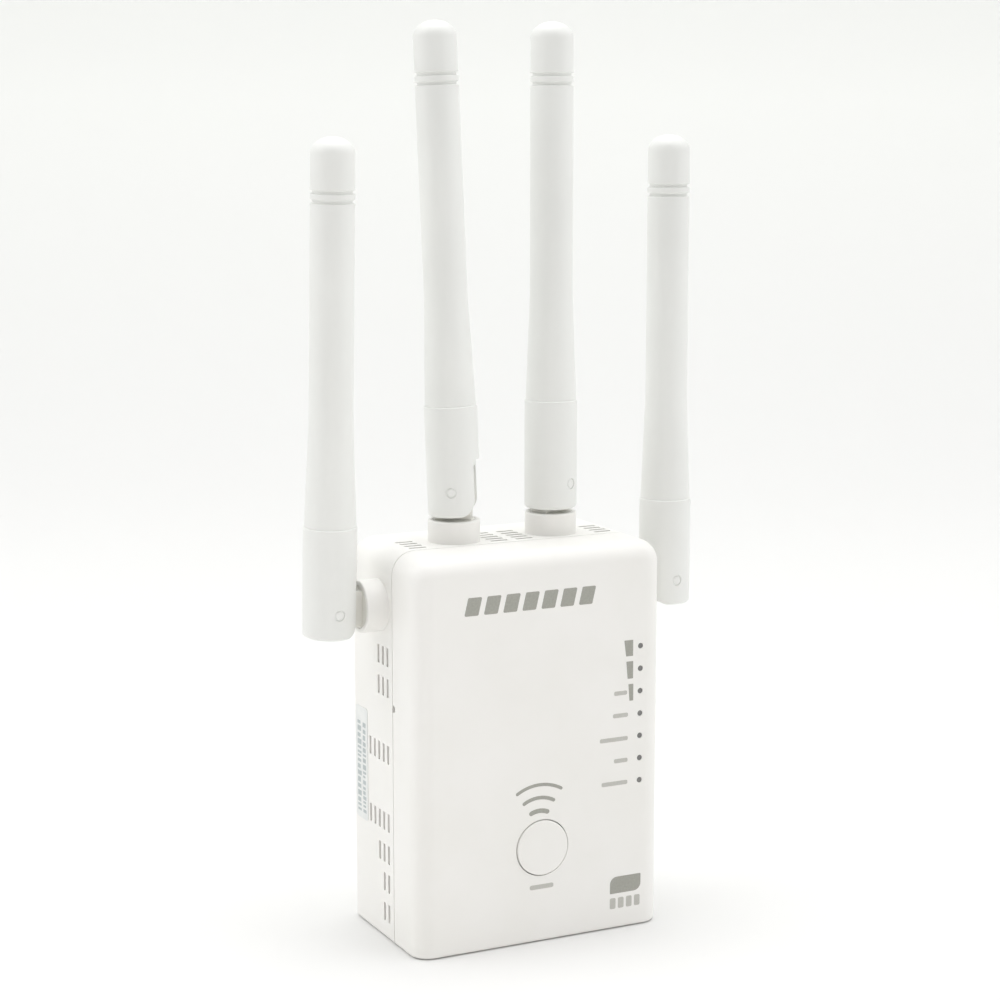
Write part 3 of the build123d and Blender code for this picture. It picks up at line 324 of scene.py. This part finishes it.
def spun(name, profiles, origin, axis, body, material, segments=96):
    """One piece of several profiles spun about an axis; a profile's ends at radius 0 are closed."""
    turn = Vector(axis).to_track_quat("Z", "Y").to_matrix()
    shape = bmesh.new()
    for profile in profiles:
        rings = []
        for radius, height in profile:
            if radius < 1e-4:
                rings.append([shape.verts.new(origin + turn @ Vector((0, 0, height * MM)))])
                continue
            ring = []
            for k in range(segments):
                angle = 2 * math.pi * k / segments
                point = Vector((radius * math.cos(angle), radius * math.sin(angle), height)) * MM
                ring.append(shape.verts.new(origin + turn @ point))
            rings.append(ring)
        for low, high in zip(rings, rings[1:]):
            for k in range(segments):
                after = k + 1
                corners = [low[k % len(low)], low[after % len(low)],
                           high[after % len(high)], high[k % len(high)]]
                corners = [v for n, v in enumerate(corners) if v not in corners[:n]]
                if len(corners) > 2:
                    shape.faces.new(corners).smooth = True
    bmesh.ops.recalc_face_normals(shape, faces=shape.faces)
    mesh = bpy.data.meshes.new(name)
    shape.to_mesh(mesh)
    shape.free()
    piece = bpy.data.objects.new(name, mesh)
    bpy.context.scene.collection.objects.link(piece)
    piece.data.materials.append(material)
    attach(piece, body)
    return piece


# %% [markdown]
# ## Antenna shells
# The shell tapers from the sleeve, runs straight, has two rings cut in it and ends in a dome. Its
# foot is a little smaller than the sleeve, so the sleeve's chamfered rim shows as a light line.
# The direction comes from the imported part: its tip is the point farthest from the hinge pin.

# %% Antenna shells
SLEEVE_TOP = 21.6
FOOT_R = 6.52
SHELL_R = 5.5
HEAD_R = 5.45
TAPER_TOP = 48.6
DOME_H = 4.2
RING_BELOW_TIP = (15.5, 13.2)
RING_W = 1.0
RING_DEPTH = 0.6
SPIGOT_FOOT = 13.7
SPIGOT_R = 5.15
BORE_R = 4.0
DOME_WALL = 2.0
DOME_STEPS = 16
CORNER_R = 0.12
tilts = {joint["name"]: joint for joint in frame["joints"]}
for number in (1, 2, 3, 4):
    pin = Vector(tilts[f"antenna_{number}_tilt"]["pos_m"])
    points = [v.co for v in nodes[f"antenna_{number}_shaft"].data.vertices]
    farthest = max(points, key=lambda p: (p - pin).length)
    tip = (farthest - pin).length / MM
    outer = [(SPIGOT_R, SPIGOT_FOOT), (SPIGOT_R, SLEEVE_TOP), (FOOT_R, SLEEVE_TOP), (SHELL_R, TAPER_TOP)]
    for below in RING_BELOW_TIP:
        z = tip - below
        outer += [(SHELL_R, z - RING_W / 2), (SHELL_R - RING_DEPTH, z - RING_W / 3),
                  (SHELL_R - RING_DEPTH, z + RING_W / 3), (SHELL_R, z + RING_W / 2)]
    outer += [(HEAD_R, tip - RING_BELOW_TIP[1] + 2 * RING_W), (HEAD_R, tip - DOME_H)]
    skin = eased(outer, CORNER_R)
    for step in range(1, DOME_STEPS + 1):
        angle = math.radians(90 * step / DOME_STEPS)
        radius = HEAD_R * math.cos(angle) if step < DOME_STEPS else 0.0
        skin.append((radius, tip - DOME_H + DOME_H * math.sin(angle)))
    bore_top = tip - DOME_H - DOME_WALL
    bore = [(SPIGOT_R, SPIGOT_FOOT), (BORE_R, SPIGOT_FOOT), (BORE_R, bore_top), (0, bore_top)]
    shell = spun(f"antenna_{number}_shell", [skin, bore], pin, farthest - pin,
                 f"antenna_{number}_arm", antenna_abs)
    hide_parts(f"antenna_{number}_shaft")
print("antenna tip above pin, mm", round(tip, 2))

# %% [markdown]
# ## Hinge pins
# The pins are pressed in from both sides. Each end is a low dome with a soft ring round it, set
# just under the sleeve's skin, so only a faint ring shows. Heights run out along the pin.

# %% Hinge pins
PIN_R = 1.14
COLLAR_R = 1.42
PIN_IN = 0.9
COLLAR_IN = 6.41
COLLAR_OUT = 6.52
VALLEY = (1.2, 6.46)
CROWN_R = 1.0
CROWN_FOOT = 6.60
PIN_OUT = 6.74
CROWN_STEPS = 6
for number in (1, 2, 3, 4):
    joint = tilts[f"antenna_{number}_tilt"]
    pin_end = eased([(0, PIN_IN), (PIN_R, PIN_IN), (PIN_R, COLLAR_IN), (COLLAR_R, COLLAR_IN + 0.01),
                     (COLLAR_R, COLLAR_OUT), VALLEY, (CROWN_R, CROWN_FOOT)], 0.06)
    for step in range(1, CROWN_STEPS + 1):
        angle = math.radians(90 * step / CROWN_STEPS)
        radius = CROWN_R * math.cos(angle) if step < CROWN_STEPS else 0.0
        pin_end.append((radius, CROWN_FOOT + (PIN_OUT - CROWN_FOOT) * math.sin(angle)))
    other = [(radius, -height) for radius, height in pin_end]
    pins = spun(f"antenna_{number}_pin_ends", [pin_end, other], Vector(joint["pos_m"]), joint["axis"],
                f"antenna_{number}_arm", antenna_abs, 48)
    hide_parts(f"antenna_{number}_hinge_pins")
print("hinge pins", 8)

# %% [markdown]
# ## Printed marks
# The marks are pad-printed: a film of grey ink a few hundredths of a millimetre thick, with soft
# corners. Each is a real thin slab on the front face. Lettering is left out: the name becomes a
# row of slanted blocks, each lamp's word a short dash, and the badge is plain.

# %% Printing ink
INK_T = 0.02
pad_print_ink, tree, surface = new_material("pad_print_ink", "#A3A39B", roughness=0.45, ior=1.5)
mottle = add(tree, "TexNoise", None, {"Vector": in_mm(tree), "Scale": 1 / 0.5, "Detail": 4.0})
tree.links.new(two_tone(tree, uneven(tree, mottle.outputs["Fac"], 0, 1, 0.25), "#9C9C94", "#AAAAA2"),
               surface.inputs["Base Color"])
relief = add(tree, "Bump", None, {"Height": mottle.outputs["Fac"], "Strength": 0.1, "Distance": 0.01 * MM})
tree.links.new(relief.outputs[0], surface.inputs["Normal"])
pale_print_ink = flecked("pale_print_ink", "#C6C5BF", "#BBBAB4", 0.45, 0.5, 0.1)


# %% Outlines for the marks
def rounded(corners, radii, steps=5):
    """A closed outline with its corners rounded, for corners given in order, in mm."""
    outline = []
    count = len(corners)
    if not isinstance(radii, (list, tuple)):
        radii = [radii] * count
    for k in range(count):
        radius = radii[k]
        here = Vector(corners[k])
        before = (Vector(corners[k - 1]) - here).normalized()
        after = (Vector(corners[(k + 1) % count]) - here).normalized()
        half_turn = before.angle(after) / 2
        reach = radius / math.tan(half_turn)
        centre = here + (before + after).normalized() * (radius / math.sin(half_turn))
        start = here + before * reach - centre
        end = here + after * reach - centre
        sweep = start.angle_signed(end)
        for step in range(steps + 1):
            turned = Matrix.Rotation(-sweep * step / steps, 2) @ start
            outline.append(centre + turned)
    return outline


def arc_band(left, top_z, right, stroke, steps=24):
    """A curved stroke with round ends, through a left end, a top height and a right end."""
    middle_x = (left[0] + right[0]) / 2
    middle_z = (left[1] + right[1]) / 2
    half = math.hypot(right[0] - left[0], right[1] - left[1]) / 2
    rise = top_z - middle_z
    radius = (half * half + rise * rise) / (2 * rise)
    centre = Vector((middle_x, top_z - radius))
    first = math.atan2(left[1] - centre.y, left[0] - centre.x)
    last = math.atan2(right[1] - centre.y, right[0] - centre.x)
    outer, inner = [], []
    for step in range(steps + 1):
        angle = first + (last - first) * step / steps
        ray = Vector((math.cos(angle), math.sin(angle)))
        outer.append(centre + ray * (radius + stroke / 2))
        inner.append(centre + ray * (radius - stroke / 2))
    ends = []
    for angle, direction in ((last, -1), (first, 1)):
        middle = centre + Vector((math.cos(angle), math.sin(angle))) * radius
        spin = angle if direction < 0 else angle + math.pi
        ends.append([middle + Vector((math.cos(spin - math.pi * k / 6), math.sin(spin - math.pi * k / 6)))
                     * stroke / 2 for k in range(1, 6)])
    return outer + ends[0] + inner[::-1] + ends[1]


# %% Printing the front
front_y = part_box("front_cover")[0].y


def printed(name, outlines, place, material):
    """Thin slabs of ink from outlines in mm; place turns (across, up, height) into a point."""
    shape = bmesh.new()
    for outline in outlines:
        low = [shape.verts.new(place(u, v, 0.0)) for u, v in outline]
        high = [shape.verts.new(place(u, v, INK_T)) for u, v in outline]
        shape.faces.new(low)
        shape.faces.new(high[::-1])
        for k in range(len(low)):
            shape.faces.new((low[k], high[k], high[k - 1], low[k - 1]))
    bmesh.ops.recalc_face_normals(shape, faces=shape.faces)
    mesh = bpy.data.meshes.new(name)
    shape.to_mesh(mesh)
    shape.free()
    piece = bpy.data.objects.new(name, mesh)
    bpy.context.scene.collection.objects.link(piece)
    piece.data.materials.append(material)
    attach(piece, "housing")
    return piece


def on_front(u, v, height):
    """A point on the front face, or height above it, in metres."""
    return Vector((u * MM, front_y - height * MM, v * MM))


arcs = [
    arc_band((-7.1, 39.7), 41.6, (5.4, 40.1), 0.85),
    arc_band((-5.2, 37.0), 38.2, (3.2, 37.2), 0.95),
    arc_band((-3.2, 34.2), 34.75, (1.4, 34.35), 1.2),
]
bars = [
    rounded([(24.0, 72.4), (26.05, 72.4), (26.05, 76.6), (23.45, 76.6)], 0.12),
    rounded([(24.5, 66.45), (26.1, 66.45), (26.1, 71.0), (24.1, 71.0)], 0.12),
    rounded([(25.1, 60.6), (26.2, 60.6), (26.2, 65.0), (24.75, 65.0)], 0.12),
]
badge = [rounded([(19.8, 9.4), (28.9, 9.4), (28.9, 13.9), (19.8, 13.9)], [0.25, 2.0, 0.25, 2.0], 8)]
printed("signal_arcs", arcs, on_front, pad_print_ink)
printed("signal_bars", bars, on_front, pad_print_ink)
printed("plain_badge", badge, on_front, pad_print_ink)

# %% Generic stand-ins for lettering
EMBLEM_X = (-21.9, 16.6)
EMBLEM_Z = (87.2, 91.8)
BLOCKS = 7
SLANT = 1.1
pitch = (EMBLEM_X[1] - EMBLEM_X[0] - SLANT) / BLOCKS
emblem = []
for k in range(BLOCKS):
    left = EMBLEM_X[0] + k * pitch
    right = left + pitch - 1.5
    emblem.append(rounded([(left, EMBLEM_Z[0]), (right, EMBLEM_Z[0]),
                           (right + SLANT, EMBLEM_Z[1]), (left + SLANT, EMBLEM_Z[1])], 0.35))
printed("plain_emblem", emblem, on_front, pad_print_ink)
dashes = []
DASH_HALF = 0.55
DASHES = ((24.4, 62.9, 3.8), (24.7, 57.0, 4.4), (24.7, 50.8, 8.2), (24.7, 45.0, 4.0), (24.7, 39.1, 7.6))
for right, z, length in DASHES:
    left, low, high = right - length, z - DASH_HALF, z + DASH_HALF
    dashes.append(rounded([(left, low), (right, low), (right, high), (left, high)], 0.4))
dashes.append(rounded([(-3.6, 14.0), (3.2, 14.0), (3.2, 15.2), (-3.6, 15.2)], 0.5))
for left in (19.8, 22.2, 24.6, 27.0):
    dashes.append(rounded([(left, 5.3), (left + 1.7, 5.3), (left + 1.7, 8.2), (left, 8.2)], 0.4))
printed("plain_dashes", dashes, on_front, pale_print_ink)
print("printed marks", len(arcs) + len(bars) + len(badge) + len(emblem) + len(dashes))

# %% [markdown]
# ## Side label
# The rating label is a die-cut polyester film, so it has rounded corners. Its print is replaced by
# two columns of plain blocks, which say nothing.

# %% Side label
label_film, tree, surface = new_material("label_film", "#E5E7E5", roughness=0.32, ior=1.64)
weave = add(tree, "TexNoise", None, {"Vector": in_mm(tree), "Scale": 1 / 3.0, "Detail": 2.0})
tree.links.new(two_tone(tree, uneven(tree, weave.outputs["Fac"], 0, 1), "#E1E4E3", "#E9EBE9"),
               surface.inputs["Base Color"])
label_ink = flecked("label_ink", "#BCC3C4", "#B0B8B9", 0.45, 0.5, 0.1)
label_low, label_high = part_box("side_label")
LABEL_T = (label_high.x - label_low.x) / MM


def on_side(u, v, height):
    """A point on the left wall; the label's own thickness and the ink stand out from it."""
    return Vector((label_high.x - height / INK_T * LABEL_T * MM, u * MM, v * MM))


def on_label(u, v, height):
    """A point on the label's face."""
    return Vector((label_low.x - height * MM, u * MM, v * MM))


y0, y1, z0, z1 = [value / MM for value in (label_low.y, label_high.y, label_low.z, label_high.z)]
outline = rounded([(y0, z0), (y1, z0), (y1, z1), (y0, z1)], 0.9)
sheet = printed("side_label_film", [outline], on_side, label_film)
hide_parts("side_label")
shuffle = random.Random(7)
blocks = []
for left, right in ((y0 + 0.9, y0 + 3.0), (y0 + 3.9, y0 + 6.4)):
    z = z0 + 1.8
    while z < z1 - 4.0:
        height = shuffle.uniform(0.5, 1.5)
        indent = shuffle.uniform(0.0, 0.7)
        start, top = left + indent, z + height
        blocks.append(rounded([(start, z), (right, z), (right, top), (start, top)], 0.15))
        z += height + shuffle.uniform(0.4, 0.7)
printed("side_label_blocks", blocks, on_label, label_ink)
print("label blocks", len(blocks))

# %% [markdown]
# ## Studio
# White on white needs a light tent: bright cloth all round, a soft lamp above, and a darker gap
# where the camera looks in. The gap is what gives the round antennas their darker middle and
# light edges. The floor sweeps up behind in one curve, so no horizon shows. Its paint is painted light:
# darker on the floor and lighter up the wall, to make up for the top lamp falling more on the floor.

# %% Floor and sweep
SWEEP_FRONT = -1.2
SWEEP_BACK = 1.3
SWEEP_R = 0.7
SWEEP_TOP = 2.4
profile = [(SWEEP_FRONT, 0.0)]
for step in range(17):
    angle = math.radians(90 * step / 16)
    profile.append((SWEEP_BACK - SWEEP_R + SWEEP_R * math.sin(angle), SWEEP_R - SWEEP_R * math.cos(angle)))
profile.append((SWEEP_BACK, SWEEP_TOP))
turn = Matrix.Rotation(math.atan2(-CAMERA_LOOK.x, CAMERA_LOOK.y), 3, "Z")
shape = bmesh.new()
columns = [[shape.verts.new(turn @ Vector((x, y, z))) for y, z in profile] for x in (-3.2, 3.2)]
for k in range(len(profile) - 1):
    shape.faces.new((columns[0][k], columns[1][k], columns[1][k + 1], columns[0][k + 1])).smooth = True
floor_mesh = bpy.data.meshes.new("floor")
shape.to_mesh(floor_mesh)
shape.free()
floor = bpy.data.objects.new("floor", floor_mesh)
floor.location.z = -0.0002
bpy.context.scene.collection.objects.link(floor)
sweep_paint_with_painted_light, tree, surface = new_material("sweep_paint_with_painted_light", "#F0F0EE", roughness=0.6)
# Painted light: the sweep runs from a darker floor colour to a lighter wall colour with height, evening out
# the top lamp, which lights the floor more than the wall.
height = add(tree, "SeparateXYZ", None, {0: add(tree, "TexCoord").outputs["Object"]}).outputs["Z"]
rise = add(tree, "MapRange", None, {"Value": height, "From Min": 0.0, "From Max": 0.22}).outputs[0]
tree.links.new(two_tone(tree, rise, "#EAEAE9", "#FDFEFB"), surface.inputs["Base Color"])
floor.data.materials.append(sweep_paint_with_painted_light)
print("sweep points", len(profile))

# %% Light
FRONT_DARK = 0.30
TENT = 1.13
CEILING = 1.5
world = bpy.data.worlds.new("tent")
bpy.context.scene.world = world
world.use_nodes = True
tree = world.node_tree
backdrop = tree.nodes["Background"]
direction = add(tree, "TexCoord").outputs["Generated"]
toward_opening = add(tree, "VectorMath", {"operation": "DOT_PRODUCT"},
                     {0: direction, 1: (-CAMERA_LOOK).normalized()}).outputs["Value"]
opening = add(tree, "MapRange", {"interpolation_type": "SMOOTHSTEP"},
              {"Value": toward_opening, "From Min": 0.25, "From Max": 0.9,
               "To Min": TENT, "To Max": FRONT_DARK})
upward = add(tree, "SeparateXYZ", None, {0: direction}).outputs["Z"]
ceiling = add(tree, "MapRange", {"interpolation_type": "SMOOTHSTEP"},
              {"Value": upward, "From Min": 0.2, "From Max": 0.9, "To Min": 1.0, "To Max": CEILING})
both = add(tree, "Math", {"operation": "MULTIPLY"}, {0: opening.outputs[0], 1: ceiling.outputs[0]})
tree.links.new(both.outputs[0], backdrop.inputs["Strength"])
backdrop.inputs["Color"].default_value = linear("#FFFFFF")


def lamp(name, place, size, power, colour="#FFFFFF"):
    """A square soft lamp that points at the middle of the object."""
    data = bpy.data.lights.new(name, "AREA")
    data.shape = "SQUARE"
    data.size = size
    data.energy = power
    data.color = linear(colour)[:3]
    light = bpy.data.objects.new(name, data)
    light.location = place
    light.rotation_mode = "QUATERNION"
    light.rotation_quaternion = (Vector((0, 0, 0.1)) - Vector(place)).to_track_quat("-Z", "Y")
    bpy.context.scene.collection.objects.link(light)
    return light


lamp("top_lamp", (0.05, 0.1, 1.2), 0.7, 3.4)
lamp("left_lamp", (-1.2, 0.2, 0.6), 0.8, 0.5, "#FFFAF4")
lamp("low_fill", (-0.18, -0.42, 0.03), 0.12, 0.18, "#FFF4EC")
print("lamps", 3, "tent", TENT, "opening", FRONT_DARK)
